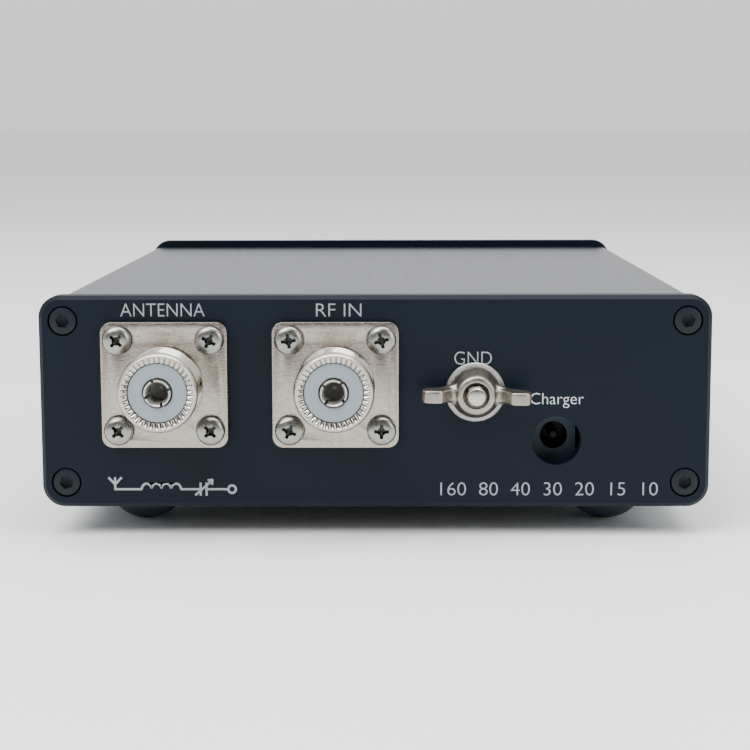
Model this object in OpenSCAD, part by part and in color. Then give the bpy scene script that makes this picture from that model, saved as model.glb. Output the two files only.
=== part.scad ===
// Automatic antenna tuner: a flat extruded case closed by two screwed end panels.
// +X is to the right as the connector panel is seen, +Z is up, and the connector panel faces -Y.
// The feet stand on Z = 0, and Y = 0 is halfway between the sockets' ends and the buttons' ends.

/* [Case] */
// Width of the two end panels
panel_w = 135.5; // [134:0.5:140]
// Height of the two end panels
panel_h = 43.2; // [43:0.1:46]
// Thickness of an end panel
panel_t = 4; // [4:0.5:5]
// Corner radius of an end panel
panel_r = 4.5; // [3:0.5:6]
// Bevel around the outer edge of an end panel
panel_bevel = 0.8; // [0.4:0.1:1.2]
// Depth over the outer faces of both end panels
case_depth = 180; // [178:1:200]
// How far the panels stand proud of the sleeve above and below
proud_z = 1.9; // [1.5:0.1:2]
// How far the panels stand proud of the sleeve at each side
proud_x = 1.0; // [0.8:0.1:1.2]
// Wall of the extruded sleeve
sleeve_wall = 2; // [1.8:0.1:2.2]
// Corner radius of the sleeve
sleeve_r = 1.2; // [0.8:0.1:1.5]
// Distance of the panel screws from the panel's middle, sideways
screw_x = 62.8; // [62.5:0.1:63]
// Distance of the panel screws from the panel's top and bottom edges
screw_edge = 5.1; // [5:0.1:5.3]

/* [Feet] */
// Diameter of a rubber foot where it meets the case
foot_d = 18; // [16:1:20]
// Height of a rubber foot
foot_h = 8; // [6:0.5:8.5]
// Sideways distance of the feet from the middle
foot_x = 49; // [44:1:52]
// Distance of the feet from the panels' outer faces
foot_inset = 20; // [18:1:30]

/* [Coaxial sockets] */
// Place of the aerial socket, sideways
antenna_x = -42.3; // [-43:0.1:-41]
// Place of the radio's socket, sideways
rf_in_x = -7.9; // [-9:0.1:-6]
// Height of both sockets above the panel's bottom edge
socket_up = 25.3; // [24:0.1:26]
// Side of the square flange
flange_w = 25.4; // [25:0.1:25.6]
// Thickness of the flange
flange_t = 2; // [1.6:0.2:2.4]
// Outside diameter of the coupling thread
barrel_d = 15.88; // [15.8:0.02:15.96]
// Length of the barrel in front of the flange
barrel_l = 11; // [10:0.5:12]
// Spacing of the four flange screws
flange_pitch = 18.3; // [18:0.1:18.4]
// Diameter of the insulator's face
insulator_d = 11.8; // [11.2:0.1:12]
// Outside diameter of the centre contact
contact_d = 5.7; // [5.4:0.1:6]
// Bore of the centre contact
contact_bore = 4; // [3.9:0.05:4.1]

/* [Ground terminal] */
// Place of the ground stud, sideways
ground_x = 20.2; // [19:0.1:21]
// Height of the ground stud above the panel's bottom edge
ground_up = 23.7; // [23:0.1:25]
// Diameter of the stud
stud_d = 4; // [3.9:0.05:4]
// How far the stud stands out of the panel
stud_reach = 8; // [7.6:0.1:9]
// Diameter of the flat washer
washer_d = 12; // [10:0.5:12.5]
// Thickness of the flat washer
washer_t = 1; // [0.8:0.1:1.2]
// Span over the two wings of the wing nut
wing_span = 21.7; // [20:0.1:22.5]
// Height of the wing nut's conical hub
hub_h = 5; // [4.5:0.1:5.5]

/* [Charger socket] */
// Place of the charger hole, sideways
charger_x = 36.7; // [36:0.1:38]
// Height of the charger hole above the panel's bottom edge
charger_up = 13.7; // [13.5:0.1:13.9]
// Diameter of the charger hole in the panel
charger_hole_d = 10; // [9.5:0.1:10.5]
// How far the jack's face lies behind the panel's outer face
charger_recess = 7; // [6.5:0.5:8]

/* [Buttons] */
// Diameter of a button
button_d = 9; // [8:0.5:9.5]
// How far a button stands out of the panel at rest
button_reach = 4; // [3.6:0.1:5]
// Travel of a button
button_travel = 2.5; // [2:0.1:2.5]
// Distance of the two buttons from the middle
button_x = 46; // [42:1:48]

/* [Hidden] */
$fn = 64;

black_anodise = "#23292e";
nickel = "#b9b2a6";
steel = "#8f9294";
board_green = "#1d4a33";

socket_reach = flange_t + barrel_l;
// how far the centre contacts stand out of the barrels
contact_proud = 0.2;
case_y = (socket_reach + contact_proud - button_reach) / 2;
rear_y = case_y - case_depth / 2;
front_y = case_y + case_depth / 2;
rear_in = rear_y + panel_t;
front_in = front_y - panel_t;
sleeve_l = case_depth - 2 * panel_t;
sleeve_w = panel_w - 2 * proud_x;
sleeve_h = panel_h - 2 * proud_z;
panel_z = foot_h - proud_z;
mid_z = panel_z + panel_h / 2;
screw_z = [panel_z + screw_edge, panel_z + panel_h - screw_edge];
socket_z = panel_z + socket_up;
ground_z = panel_z + ground_up;
charger_z = panel_z + charger_up;

// M3 socket-head screws of the panels
cap_head_d = 5.5;
cap_head_h = 3;
cap_pocket_d = 6.1;
m3_hole_d = 3.3;
m3_d = 2.9;
tapped_d = 3;
cap_screw_l = 11;

// circuit board, and the jack whose height sets it
board_t = 1.6;
jack_axis_h = 6.5;
board_top = charger_z - jack_axis_h;
board_w = 121.4;
board_y0 = rear_in + 1;
board_y1 = front_in - 18;
slot_play = 0.1;
slot_lip = 2.4;
boss_wall = 3.3;
fit_gap = 0.05;

// front board and the switches on it
front_board_y = front_in - 15.4;
switch_w = 8.5;
switch_l = 10;
stem_w = 3.2;
button_z = mid_z;
led_x = [-16, -8, 0, 8, 16];
led_d = 3;
led_reach = 1;

// ---------- shared shapes ----------

// Places its children on the connector panel: local Z points out of it and local Y points up
module on_rear(x, z, out = 0) {
    translate([x, rear_y - out, z]) rotate([90, 0, 0]) children();
}

// The same on the control panel, with local X to the right as that panel is seen
module on_front(x, z, out = 0) {
    translate([-x, front_y + out, z]) rotate([90, 0, 180]) children();
}

module rounded_rect(w, h, r) {
    square([w - 2 * r, h], center = true);
    square([w, h - 2 * r], center = true);
    for (sx = [-1, 1], sy = [-1, 1])
        translate([sx * (w / 2 - r), sy * (h / 2 - r)]) circle(r);
}

module four_corners(pitch) {
    for (sx = [-1, 1], sy = [-1, 1])
        translate([sx * pitch / 2, sy * pitch / 2, 0]) children();
}

function unit(v) = v / norm(v);

// A round wire through points; normals keep its sides from twisting
module swept_wire(points, normals, r, sides) {
    last = len(points) - 1;
    skin = [
        for (i = [0 : last])
            let (
                t = unit(points[min(i + 1, last)] - points[max(i - 1, 0)]),
                a = unit(normals[i] - t * (normals[i] * t)),
                b = cross(t, a)
            )
            for (k = [0 : sides - 1])
                points[i] + r * (cos(360 * k / sides) * a + sin(360 * k / sides) * b)
    ];
    walls = [
        for (i = [0 : last - 1], k = [0 : sides - 1])
            let (n = (k + 1) % sides, low = i * sides, high = low + sides)
            for (f = [[low + k, high + k, high + n], [low + k, high + n, low + n]]) f
    ];
    start_cap = [[for (k = [0 : sides - 1]) k]];
    end_cap = [[for (k = [sides - 1 : -1 : 0]) last * sides + k]];
    polyhedron(points = skin, faces = concat(start_cap, walls, end_cap), convexity = 8);
}

// A coil spring or air-wound coil around Z
module coil(r, wire_r, height, turns, steps = 12, sides = 6) {
    count = turns * steps;
    angles = [for (i = [0 : count]) 360 * i / steps];
    points = [for (i = [0 : count]) [r * cos(angles[i]), r * sin(angles[i]), height * i / count]];
    normals = [for (a = angles) [cos(a), sin(a), 0]];
    swept_wire(points, normals, wire_r, sides);
}

// A wire wound round a ring core that lies flat; rx and rz are half the turns' width and height
module toroid_winding(ring_r, rx, rz, wire_r, turns, gap_deg, steps = 10, sides = 6) {
    count = turns * steps;
    sweep = 360 - gap_deg;
    function spot(i) =
        let (a = 360 * i / steps, b = sweep * i / count, q = ring_r + rx * cos(a))
        [q * cos(b), q * sin(b), rz * sin(a)];
    function out(i) =
        let (a = 360 * i / steps, b = sweep * i / count)
        [cos(a) * cos(b), cos(a) * sin(b), sin(a)];
    swept_wire([for (i = [0 : count]) spot(i)], [for (i = [0 : count]) out(i)], wire_r, sides);
}

// ---------- case ----------

module sleeve_section() {
    difference() {
        translate([0, mid_z]) rounded_rect(sleeve_w, sleeve_h, sleeve_r);
        difference() {
            translate([0, mid_z])
                square([sleeve_w - 2 * sleeve_wall, sleeve_h - 2 * sleeve_wall], center = true);
            for (side = [-1, 1]) {
                screw_boss(side, foot_h, board_top + slot_lip);
                screw_boss(side, screw_z[1] - boss_wall, foot_h + sleeve_h);
            }
        }
        for (side = [-1, 1]) {
            for (z = screw_z)
                translate([side * screw_x, z]) circle(d = tapped_d);
            translate([side * (board_w / 2 - 1), board_top - board_t / 2])
                square([2 + 2 * slot_play, board_t + 2 * slot_play], center = true);
        }
    }
}

// A boss that runs into the wall beside it; the lower two also hold the circuit board's slots
module screw_boss(side, z_low, z_high) {
    inner_x = screw_x - boss_wall;
    w = sleeve_w / 2 - sleeve_wall / 2 - inner_x;
    translate([side * (inner_x + w / 2), (z_low + z_high) / 2])
        square([w, z_high - z_low], center = true);
}

module case_sleeve() {
    color(black_anodise)
        translate([0, case_y + sleeve_l / 2, 0]) rotate([90, 0, 0])
            linear_extrude(sleeve_l) sleeve_section();
}

// The bevelled blank of an end panel, outer face at local Z = 0 and facing +Z
module panel_blank() {
    hull() {
        translate([0, mid_z, -panel_t])
            linear_extrude(panel_t - panel_bevel) rounded_rect(panel_w, panel_h, panel_r);
        translate([0, mid_z, -panel_t])
            linear_extrude(panel_t)
                rounded_rect(
                    panel_w - 2 * panel_bevel, panel_h - 2 * panel_bevel, panel_r - panel_bevel
                );
    }
}

module panel_screw_holes() {
    for (side = [-1, 1], z = screw_z) translate([side * screw_x, z, 0]) {
        translate([0, 0, -panel_t - 1]) cylinder(d = m3_hole_d, h = panel_t + 2);
        translate([0, 0, -cap_head_h]) cylinder(d = cap_pocket_d, h = cap_head_h + 1);
    }
}

module through_hole(x, z, d) {
    translate([x, z, -panel_t - 1]) cylinder(d = d, h = panel_t + 2);
}

module rear_panel() {
    color(black_anodise) on_rear(0, 0) difference() {
        panel_blank();
        panel_screw_holes();
        for (x = [antenna_x, rf_in_x]) {
            through_hole(x, socket_z, tail_d + 0.8);
            translate([x, socket_z, 0]) four_corners(flange_pitch) through_hole(0, 0, m3_hole_d);
        }
        through_hole(ground_x, ground_z, stud_d + 0.3);
        through_hole(charger_x, charger_z, charger_hole_d);
    }
}

module front_panel() {
    color(black_anodise) on_front(0, 0) difference() {
        panel_blank();
        panel_screw_holes();
        for (side = [-1, 1]) through_hole(side * button_x, button_z, button_d + 0.6);
        for (x = led_x) through_hole(x, button_z, led_d + 0.2);
    }
}

// One M3 socket-head screw, head top at local Z = 0
module cap_screw() {
    difference() {
        translate([0, 0, -cap_head_h]) cylinder(d = cap_head_d, h = cap_head_h);
        translate([0, 0, -1.4]) cylinder(d = 2.9, h = 2, $fn = 6);
    }
    translate([0, 0, -cap_head_h - cap_screw_l]) cylinder(d = m3_d, h = cap_screw_l);
}

module rear_panel_screws() {
    color("#1b1d1f") for (side = [-1, 1], z = screw_z) on_rear(side * screw_x, z) cap_screw();
}

module front_panel_screws() {
    color("#1b1d1f") for (side = [-1, 1], z = screw_z) on_front(side * screw_x, z) cap_screw();
}

// A domed rubber bumper: a ball's cap with a small flat where it stands
module rubber_foot() {
    base_r = foot_d / 2;
    flat_h = 0.25;
    full_h = foot_h + flat_h;
    ball_r = (base_r * base_r + full_h * full_h) / (2 * full_h);
    translate([0, 0, foot_h])
        rotate([180, 0, 0])
            intersection() {
                translate([0, 0, full_h - ball_r]) sphere(ball_r);
                cylinder(r = foot_d, h = foot_h);
            }
}

module rubber_feet() {
    color("#1c1c1c")
        for (sx = [-1, 1], y = [rear_y + foot_inset, front_y - foot_inset])
            translate([sx * foot_x, y, 0]) rubber_foot();
}

// ---------- coaxial sockets ----------

// neck behind the flange, insulator tail and solder cup, all measured inwards from the panel's face
tail_d = 12.6;
tail_l = 6;
core_d = 9.4;
core_l = 9;
seat_h = 0.6;
cup_d = 4;
cup_l = 13;
flange_screw_d = 2.9;
pan_head_d = 5.8;
pan_head_h = 1.9;
m3_nut_d = 6.35;
m3_nut_t = 2.4;

module socket_body() {
    rim = 0.7;
    difference() {
        union() {
            linear_extrude(flange_t) rounded_rect(flange_w, flange_w, 2.2);
            translate([0, 0, -tail_l]) cylinder(d = tail_d, h = tail_l + 0.5);
            cylinder(d = barrel_d, h = socket_reach - rim);
            translate([0, 0, socket_reach - rim])
                cylinder(d1 = barrel_d, d2 = barrel_d - 2 * rim, h = rim);
        }
        translate([0, 0, seat_h]) cylinder(d = insulator_d, h = socket_reach);
        translate([0, 0, -tail_l - 1]) cylinder(d = core_d, h = tail_l + 3);
        four_corners(flange_pitch) translate([0, 0, -1]) cylinder(d = 3.2, h = flange_t + 2);
    }
}

// The insulator fills the barrel and steps down to the tail behind the panel
module socket_insulator() {
    recess = 0.5;
    difference() {
        union() {
            translate([0, 0, seat_h + fit_gap])
                cylinder(d = insulator_d - 2 * fit_gap, h = socket_reach - recess - seat_h);
            translate([0, 0, -core_l]) cylinder(d = core_d - 2 * fit_gap, h = core_l + 1);
        }
        translate([0, 0, -core_l - 1]) cylinder(d = contact_d, h = core_l + socket_reach + 3);
    }
}

// The hollow centre contact, slit in four at its mouth, with a solder cup behind
module socket_contact() {
    mouth = socket_reach + contact_proud;
    slit_l = 6;
    slit_w = 0.6;
    difference() {
        union() {
            translate([0, 0, -core_l + 1])
                cylinder(d = contact_d - 2 * fit_gap, h = mouth + core_l - 1);
            translate([0, 0, -cup_l]) cylinder(d = cup_d, h = cup_l - core_l + 2);
        }
        translate([0, 0, mouth - 9]) cylinder(d = contact_bore, h = 10);
        translate([0, 0, -cup_l - 1]) cylinder(d = 2.4, h = 4);
        for (a = [0, 90]) rotate([0, 0, a])
            translate([-contact_d / 2 - 1, -slit_w / 2, mouth - slit_l])
                cube([contact_d + 2, slit_w, slit_l + 1]);
    }
}

// Pan-head machine screw with a cross recess, head seated on local Z = 0
module pan_screw(length) {
    recess = 3;
    difference() {
        intersection() {
            cylinder(d = pan_head_d, h = pan_head_h);
            translate([0, 0, pan_head_h - 4.6]) sphere(4.6);
        }
        for (a = [0, 90]) rotate([0, 0, a])
            translate([-recess / 2, -0.35, pan_head_h - 1.1]) cube([recess, 0.7, 2]);
    }
    translate([0, 0, -length]) cylinder(d = flange_screw_d, h = length);
}

module socket_screws() {
    four_corners(flange_pitch) translate([0, 0, flange_t]) pan_screw(flange_t + panel_t + 4);
}

module socket_nuts() {
    four_corners(flange_pitch) translate([0, 0, -panel_t - m3_nut_t]) difference() {
        cylinder(d = m3_nut_d, h = m3_nut_t, $fn = 6);
        translate([0, 0, -1]) cylinder(d = tapped_d, h = m3_nut_t + 2);
    }
}

module antenna_socket_body() { color(nickel) on_rear(antenna_x, socket_z) socket_body(); }
module rf_in_socket_body() { color(nickel) on_rear(rf_in_x, socket_z) socket_body(); }
module antenna_socket_insulator() { color("#b4bdc2") on_rear(antenna_x, socket_z) socket_insulator(); }
module rf_in_socket_insulator() { color("#b4bdc2") on_rear(rf_in_x, socket_z) socket_insulator(); }
module antenna_socket_screws() { color(steel) on_rear(antenna_x, socket_z) socket_screws(); }
module rf_in_socket_screws() { color(steel) on_rear(rf_in_x, socket_z) socket_screws(); }
module antenna_socket_nuts() { color(steel) on_rear(antenna_x, socket_z) socket_nuts(); }
module rf_in_socket_nuts() { color(steel) on_rear(rf_in_x, socket_z) socket_nuts(); }

// The slits of the two contacts stand at the angles at which each was screwed in
module antenna_socket_contact() {
    color(nickel) on_rear(antenna_x, socket_z) rotate([0, 0, 20]) socket_contact();
}
module rf_in_socket_contact() {
    color(nickel) on_rear(rf_in_x, socket_z) rotate([0, 0, 52]) socket_contact();
}

// A stiff wire out of a solder cup that turns down to the board
module socket_lead(x) {
    wire_d = 1.6;
    bend_r = 4;
    start_y = rear_y + cup_l - 2.5;
    turn_y = start_y + 5;
    drop = socket_z - bend_r - board_top;
    translate([x, turn_y, socket_z]) rotate([90, 0, 0]) cylinder(d = wire_d, h = turn_y - start_y);
    translate([x, turn_y, socket_z - bend_r]) rotate([0, -90, 0]) rotate([0, 0, -90]) mirror([1, 0, 0])
        rotate_extrude(angle = 90) translate([bend_r, 0]) circle(d = wire_d, $fn = 24);
    translate([x, turn_y + bend_r, board_top]) cylinder(d = wire_d, h = drop);
}

module antenna_lead() { color("#b8683a") socket_lead(antenna_x); }
module rf_in_lead() { color("#b8683a") socket_lead(rf_in_x); }

// ---------- ground terminal ----------

lug_t = 0.8;
lug_tail = 12;
stud_head_d = 7.5;
stud_head_h = 2.8;

// The stud is a screw put in from inside, with its head against the solder lug
module ground_stud() {
    head_z = -panel_t - lug_t - stud_head_h;
    tip = 0.5;
    color(nickel) on_rear(ground_x, ground_z) {
        translate([0, 0, head_z]) cylinder(d = stud_head_d, h = stud_head_h);
        translate([0, 0, head_z + stud_head_h])
            cylinder(d = stud_d, h = stud_reach + panel_t + lug_t - tip);
        translate([0, 0, stud_reach - tip]) cylinder(d1 = stud_d, d2 = stud_d - 2 * tip, h = tip);
    }
}

// Ring tag with a tail that is bent away from the panel
module ground_lug() {
    tail_w = 4;
    tail = lug_tail;
    color(nickel) on_rear(ground_x, ground_z) difference() {
        union() {
            translate([0, 0, -panel_t - lug_t]) cylinder(d = 9, h = lug_t);
            translate([-tail_w / 2, -tail, -panel_t - lug_t]) cube([tail_w, tail, lug_t]);
            translate([-tail_w / 2, -tail, -panel_t - 4.5]) cube([tail_w, lug_t, 4.5]);
        }
        translate([0, 0, -panel_t - 2]) cylinder(d = stud_d + 0.3, h = 4);
        translate([0, -tail + 3, -panel_t - 3.2]) rotate([90, 0, 0]) cylinder(d = 1.6, h = 6);
    }
}

// A short bare wire from the lug's tail down to the board's ground plane
module ground_wire() {
    tail_z = ground_z - lug_tail;
    color("#9aa0a4")
        translate([ground_x, rear_in + 3.2, board_top]) cylinder(d = 1.4, h = tail_z - board_top + 1.8);
}

module ground_washer() {
    color(nickel) on_rear(ground_x, ground_z) difference() {
        cylinder(d = washer_d, h = washer_t);
        translate([0, 0, -1]) cylinder(d = stud_d + 0.3, h = washer_t + 2);
    }
}

// One wing: its outline lies in the plane of the stud's axis
module wing_outline() {
    tip_r = 2.5;
    tip_x = wing_span / 2 - tip_r;
    tip_z = 5.9;
    hull() {
        translate([tip_x, tip_z]) circle(tip_r, $fn = 32);
        translate([2.9, 0.9]) square([1, 3.4]);
    }
}

module wing_nut() {
    wing_t = 2.4;
    base_d = 10.2;
    top_d = 7.2;
    turn = -1.5;
    color(nickel) on_rear(ground_x, ground_z, washer_t) rotate([0, 0, turn]) difference() {
        union() {
            cylinder(d1 = base_d, d2 = top_d, h = hub_h);
            for (a = [0, 180]) rotate([0, 0, a])
                translate([0, wing_t / 2, 0]) rotate([90, 0, 0]) linear_extrude(wing_t) wing_outline();
        }
        translate([0, 0, -1]) cylinder(d = stud_d + 2 * fit_gap, h = hub_h + 6);
    }
}

// ---------- charger socket ----------

jack_w = 9;
jack_l = 14;
jack_h = 11;
jack_bore_d = 5.7;
jack_pin_d = 2.1;
jack_bore_l = 9.5;

module charger_jack_housing() {
    color("#141414") difference() {
        translate([charger_x - jack_w / 2, rear_y + charger_recess, board_top])
            cube([jack_w, jack_l, jack_h]);
        on_rear(charger_x, charger_z, -charger_recess - jack_bore_l)
            cylinder(d = jack_bore_d, h = jack_bore_l + 1);
        translate([charger_x - 1, rear_y + charger_recess + 3, board_top - 1]) cube([2, 8, 4]);
    }
}

module charger_jack_pin() {
    color(nickel) on_rear(charger_x, charger_z, -charger_recess - jack_bore_l) {
        cylinder(d = jack_pin_d, h = jack_bore_l - 0.8);
        translate([0, 0, jack_bore_l - 0.8]) cylinder(d1 = jack_pin_d, d2 = 1.3, h = 0.5);
    }
}

// Leaf that bears on the plug's outside from below and runs down through the board
module charger_jack_contact() {
    leaf_t = 0.4;
    leaf_y = rear_y + charger_recess + 4;
    color("#a8a39a") {
        translate([charger_x - 0.9, leaf_y, board_top + 2]) cube([1.8, 6, leaf_t]);
        translate([charger_x - 0.9, leaf_y + 6 - leaf_t, board_top - 3.2]) cube([1.8, leaf_t, 5.2]);
    }
}

// ---------- main board ----------

// Drops its children on the board's top face; y counts from the board's edge at the sockets
module on_board(x, y) {
    translate([x, board_y0 + y, board_top]) children();
}

relay_size = [7.5, 15, 10];
relay_pitch = 11;
relay_columns = 8;
relay_rows = [34, 55.5];
capacitor_rows = [44.5, 66];
inductor_lift = 2.3;
inductor_d = 20.6;
inductor_hole_d = 11.6;
inductor_t = 6.4;
inductor_x = [-46, -20, 6, 32];
inductor_y = 82;

function column_x(i) = (i - (relay_columns - 1) / 2) * relay_pitch - 8;

module main_board() {
    jack_slot = charger_recess + 7;
    color(board_green) difference() {
        translate([-board_w / 2, board_y0, board_top - board_t])
            cube([board_w, board_y1 - board_y0, board_t]);
        translate([charger_x - 1.1, rear_y + jack_slot, board_top - board_t - 1])
            cube([2.2, 3.6, board_t + 2]);
    }
}

// Two rows of signal relays switch the coils and the capacitors in and out
module relays() {
    color("#d8d4c8")
        for (row = relay_rows, i = [0 : relay_columns - 1])
            on_board(column_x(i), row)
                translate([-relay_size[0] / 2, -relay_size[1] / 2, 0]) cube(relay_size);
}

module inductor_cores() {
    color("#a8322a") for (x = inductor_x) on_board(x, inductor_y)
        translate([0, 0, inductor_lift]) difference() {
            cylinder(d = inductor_d, h = inductor_t);
            translate([0, 0, -1]) cylinder(d = inductor_hole_d, h = inductor_t + 2);
        }
}

module inductor_windings() {
    ring_r = (inductor_d + inductor_hole_d) / 4;
    web = (inductor_d - inductor_hole_d) / 4;
    color("#c47a3a") for (i = [0 : len(inductor_x) - 1])
        on_board(inductor_x[i], inductor_y) translate([0, 0, inductor_lift + inductor_t / 2])
            toroid_winding(ring_r, 2 * web, 0.76 * inductor_t, 0.4, 9 + 2 * i, 50);
}

module air_coils() {
    color("#c47a3a") for (i = [0 : 2])
        on_board(51, 58 + 12 * i) translate([0, 0, 4.6]) rotate([-90, 0, 0])
            coil(3.4, 0.45, 10 - i, 7 - i);
}

module rf_capacitors() {
    color("#c8a24a") for (row = capacitor_rows, i = [0 : relay_columns - 1])
        on_board(column_x(i), row)
            translate([0, 0, 4.4]) rotate([90, 0, 0]) cylinder(d = 7, h = 2.6, center = true);
}

module bridge_core() {
    color("#3a3d40") on_bridge() difference() {
        cylinder(d = bridge_d, h = bridge_t, center = true);
        cylinder(d = bridge_hole_d, h = bridge_t + 2, center = true);
    }
}

// The measuring transformer's ring stands on its edge behind the radio's socket
bridge_d = 12.7;
bridge_hole_d = 7;
bridge_t = 4.8;

module on_bridge() {
    on_board(rf_in_x, 22) translate([0, 0, bridge_d / 2 + 1.8]) rotate([90, 0, 0]) children();
}

// The gap between the winding's ends faces the board
module bridge_winding() {
    ring_r = (bridge_d + bridge_hole_d) / 4;
    web = (bridge_d - bridge_hole_d) / 4;
    gap_deg = 110;
    color("#b8452f") on_bridge() rotate([0, 0, gap_deg / 2 - 90])
        toroid_winding(ring_r, 1.8 * web, 0.82 * bridge_t, 0.25, 10, gap_deg);
}

module microcontroller() {
    color("#17181a") on_board(46, 34) {
        translate([-6, -6, 0.2]) cube([12, 12, 1.6]);
        for (side = [-1, 1], i = [0 : 7]) translate([side * 6.6 - 0.7, (i - 3.5) * 1.27 - 0.2, 0])
            cube([1.4, 0.4, 0.8]);
    }
}

module electrolytic_capacitors() {
    color("#22324a") for (p = [[50, 112], [50, 100], [-50, 112]])
        on_board(p[0], p[1]) cylinder(d = 8, h = 12);
}

module voltage_regulator() {
    color("#2a2a2c") on_board(50, 48) {
        translate([-5.2, -2.3, 3]) cube([10.4, 4.6, 9.2]);
        translate([-5.2, 1, 12.2]) cube([10.4, 1.3, 6.2]);
        for (x = [-2.54, 0, 2.54]) translate([x - 0.4, -0.9, 0]) cube([0.8, 0.6, 3]);
    }
}

module crystal() {
    color("#b8b8b4") on_board(46, 23) {
        for (x = [-3.4, 3.4]) translate([x, 0, 0]) cylinder(d = 4.4, h = 3.6);
        translate([-3.4, -2.2, 0]) cube([6.8, 4.4, 3.6]);
    }
}

// ---------- battery ----------

cell_d = 18.4;
cell_l = 65;
cell_gap = 1.2;
tray_wall = 1.4;
tray_l = cell_l + 10;
tray_w = 2 * cell_d + cell_gap + 2 * tray_wall + 1;
tray_y = board_y1 - 6 - tray_w / 2;
cell_z = board_top + tray_wall + 0.3 + cell_d / 2;
cell_rows = [-1, 1];

// An open plastic tray screwed flat on the board
module battery_holder() {
    color("#1f2022") translate([0, tray_y, board_top]) difference() {
        translate([-tray_l / 2 - tray_wall, -tray_w / 2, 0])
            cube([tray_l + 2 * tray_wall, tray_w, 15]);
        translate([-tray_l / 2, -tray_w / 2 + tray_wall, tray_wall])
            cube([tray_l, tray_w - 2 * tray_wall, 20]);
    }
}

module battery_cells() {
    color("#3f6f8f") for (row = cell_rows)
        translate([-cell_l / 2, tray_y + row * (cell_d + cell_gap) / 2, cell_z])
            rotate([0, 90, 0]) {
                cylinder(d = cell_d, h = cell_l);
                translate([0, 0, row > 0 ? cell_l : -1]) cylinder(d = 6, h = 1);
            }
}

// A coil spring at each cell's flat end
module battery_springs() {
    color("#b0b0ac") for (row = cell_rows)
        translate([-row * (cell_l / 2 + 4.4), tray_y + row * (cell_d + cell_gap) / 2, cell_z])
            rotate([0, row * 90, 0]) coil(3.6, 0.35, 3.9, 4, 10, 6);
}

module battery_leads() {
    color("#a02020") for (row = cell_rows)
        translate([-tray_l / 2 - tray_wall - 1.2, tray_y + row * 9, board_top])
            cylinder(d = 1.6, h = 12);
}

// ---------- front board, lamps and buttons ----------

module front_board() {
    board_high = 29;
    color(board_green) difference() {
        translate([-56, front_board_y - board_t, board_top + 1.2]) cube([112, board_t, board_high]);
        for (i = [0 : 9])
            translate([(i - 4.5) * 2.54, front_board_y + 1, board_top + 3.6])
                rotate([90, 0, 0]) cylinder(d = 1, h = board_t + 2);
    }
}

// Right-angle pin strip that carries the front board at the main board's end
module front_board_header() {
    pin_w = 0.6;
    header_z = board_top + 3.6;
    pin_y0 = board_y1 - 3;
    color("#151515") {
        translate([-12.7, board_y1 - 4.2, board_top + 2.3]) cube([25.4, 2.5, 2.6]);
        for (i = [0 : 9]) translate([(i - 4.5) * 2.54, 0, 0]) {
            translate([-pin_w / 2, pin_y0, header_z - pin_w / 2])
                cube([pin_w, front_board_y + 1 - pin_y0, pin_w]);
            translate([-pin_w / 2, board_y1 - 3.2, board_top])
                cube([pin_w, pin_w, header_z - board_top]);
        }
    }
}

module status_leds() {
    color("#6fae5a") for (x = led_x) on_front(x, button_z, led_reach - led_d / 2) {
        translate([0, 0, -3.8]) cylinder(d = led_d, h = 3.8);
        sphere(d = led_d);
        translate([0, 0, -4.8]) cylinder(d = 3.8, h = 1);
    }
}

led_back = front_y + led_reach - led_d / 2 - 4.8;

module led_leads() {
    color("#b8b8b4") for (x = led_x, side = [-1, 1])
        translate([-x + side * 1.27, led_back, button_z]) rotate([90, 0, 0])
            cylinder(d = 0.5, h = led_back - front_board_y);
}

module led_spacers() {
    gap = 0.3;
    color("#2a2a2a") for (x = led_x)
        translate([-x, led_back - gap, button_z]) rotate([90, 0, 0]) difference() {
            cylinder(d = 4.8, h = led_back - front_board_y - 2 * gap);
            for (side = [-1, 1]) translate([side * 1.27, 0, -1]) cylinder(d = 0.9, h = 20);
        }
}

// A square push switch: an open box with a guide hole for its stem
module switch_body(x) {
    inner = 6.9;
    translate([-x, front_board_y + switch_l / 2, button_z]) difference() {
        cube([switch_w, switch_l, switch_w], center = true);
        translate([0, -0.8, 0]) cube([inner, switch_l - 1.6, inner], center = true);
        cube([stem_w + 0.3, switch_l + 2, stem_w + 0.3], center = true);
    }
}

// The stem carries a collar that pushes on the return spring
plunger_back = front_board_y + button_travel + 0.9;
collar_y = front_board_y + switch_l - 3.4;

module plunger(x) {
    tip_y = front_y + button_reach - 3;
    translate([-x - stem_w / 2, plunger_back, button_z - stem_w / 2])
        cube([stem_w, tip_y - plunger_back, stem_w]);
    translate([-x - 3.1, collar_y, button_z - 3.1]) cube([6.2, 1.2, 6.2]);
}

module return_spring(x) {
    foot = 0.5;
    translate([-x, front_board_y + foot, button_z]) rotate([-90, 0, 0])
        coil(2.75, 0.2, collar_y - front_board_y - 2 * foot, 5, 12, 6);
}

// The cap is pressed on the stem, and its flange keeps it in the panel
module button_cap(x) {
    flange_gap = 0.3;
    length = panel_t + button_reach;
    edge = 0.5;
    on_front(x, button_z, button_reach) difference() {
        union() {
            translate([0, 0, -length]) cylinder(d = button_d, h = length - edge);
            translate([0, 0, -edge]) cylinder(d1 = button_d, d2 = button_d - 2 * edge, h = edge);
            translate([0, 0, -length - flange_gap - 1]) cylinder(d = button_d + 2, h = 1);
            translate([0, 0, -length - flange_gap - 0.5]) cylinder(d = button_d, h = 1);
        }
        translate([-stem_w / 2, -stem_w / 2, -length - 3]) cube([stem_w, stem_w, length]);
    }
}

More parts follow.
